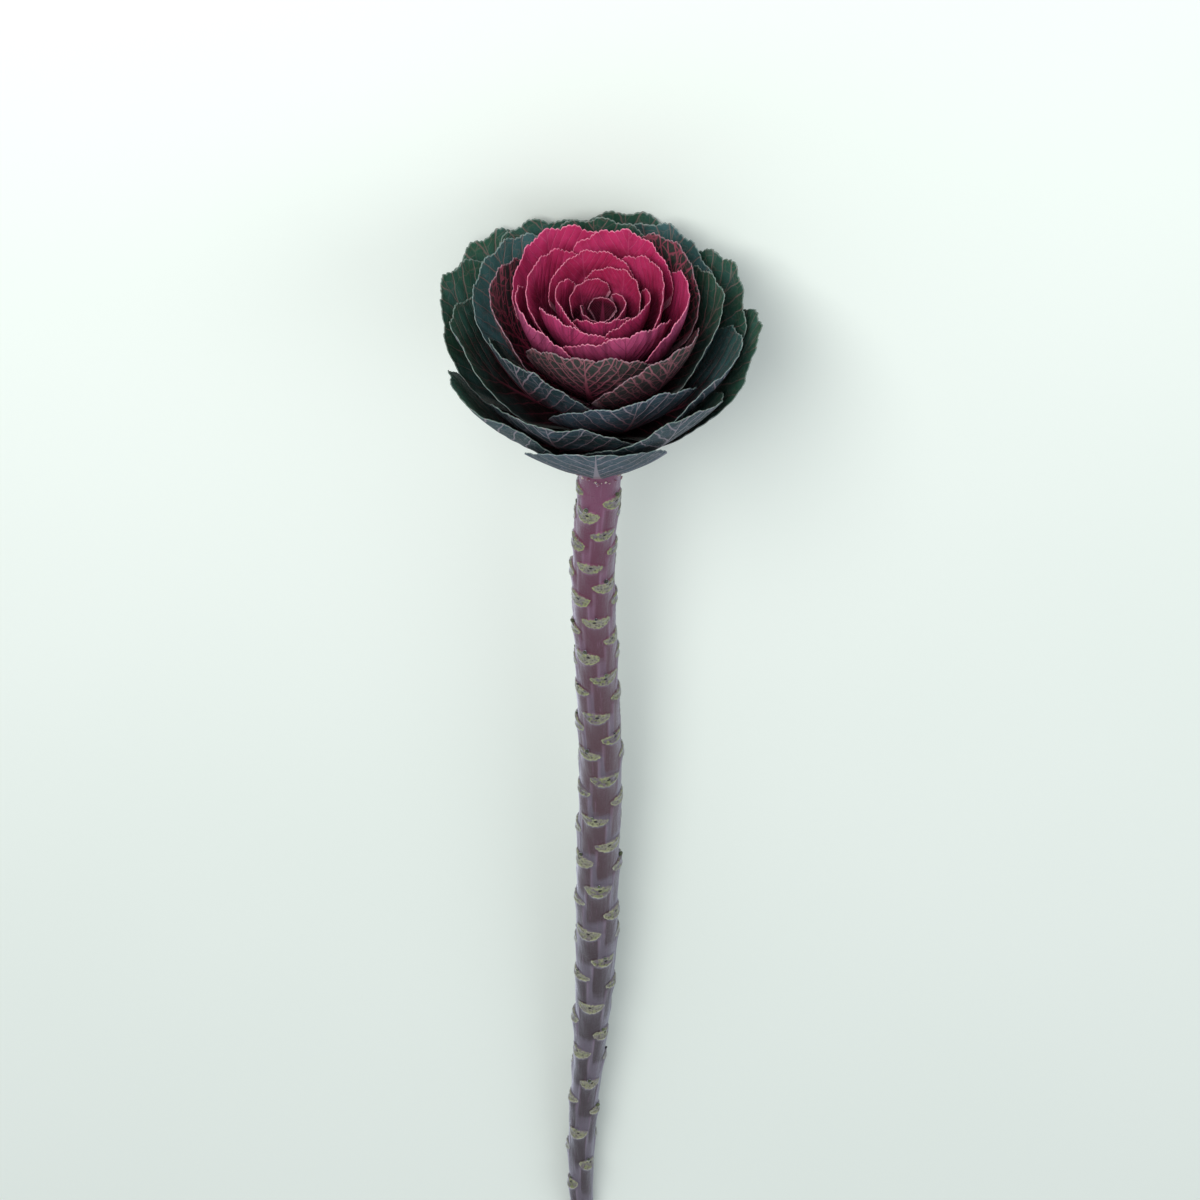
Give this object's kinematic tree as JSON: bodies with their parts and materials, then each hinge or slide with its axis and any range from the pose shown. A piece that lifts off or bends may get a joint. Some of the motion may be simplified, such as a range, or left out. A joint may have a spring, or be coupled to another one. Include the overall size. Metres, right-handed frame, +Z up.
{
  "type": "cut ornamental kale stem",
  "caption": "Cut flower kale lying on its side: a long scarred purple stalk with a rose-shaped head of waved leaves, green outside and rose pink at the heart",
  "frame": {"origin": "middle of the bounding box at the level of the surface that the stem lies on", "axes": "+Z up from the surface, +Y from the head along the stalk to its cut end, +X across; the head faces -Y"},
  "size_m": [0.1309, 0.6397, 0.1307],
  "materials": {
    "stem": "matt, with a waxy bloom",
    "green_leaf": "waxy, satin",
    "blush_leaf": "waxy, satin",
    "rose_leaf": "satin"
  },
  "bodies": {
    "root": {"stem": "stem", "green_leaf_01": "green_leaf", "green_leaf_02": "green_leaf", "green_leaf_03": "green_leaf", "green_leaf_04": "green_leaf", "green_leaf_05": "green_leaf", "green_leaf_06": "green_leaf", "green_leaf_07": "green_leaf", "green_leaf_08": "green_leaf", "green_leaf_09": "green_leaf", "green_leaf_10": "green_leaf", "green_leaf_11": "green_leaf", "green_leaf_12": "green_leaf", "green_leaf_13": "green_leaf", "green_leaf_14": "green_leaf", "green_leaf_15": "green_leaf", "green_leaf_16": "green_leaf", "green_leaf_17": "green_leaf", "green_leaf_18": "green_leaf", "blush_leaf_01": "blush_leaf", "blush_leaf_02": "blush_leaf", "blush_leaf_03": "blush_leaf", "blush_leaf_04": "blush_leaf", "rose_leaf_01": "rose_leaf", "rose_leaf_02": "rose_leaf", "rose_leaf_03": "rose_leaf", "rose_leaf_04": "rose_leaf", "rose_leaf_05": "rose_leaf", "rose_leaf_06": "rose_leaf", "rose_leaf_07": "rose_leaf", "rose_leaf_08": "rose_leaf", "rose_leaf_09": "rose_leaf", "rose_leaf_10": "rose_leaf", "rose_leaf_11": "rose_leaf", "rose_leaf_12": "rose_leaf", "rose_leaf_13": "rose_leaf", "rose_leaf_14": "rose_leaf", "rose_leaf_15": "rose_leaf", "rose_leaf_16": "rose_leaf", "rose_leaf_17": "rose_leaf", "rose_leaf_18": "rose_leaf"}
  },
  "joints": []
}
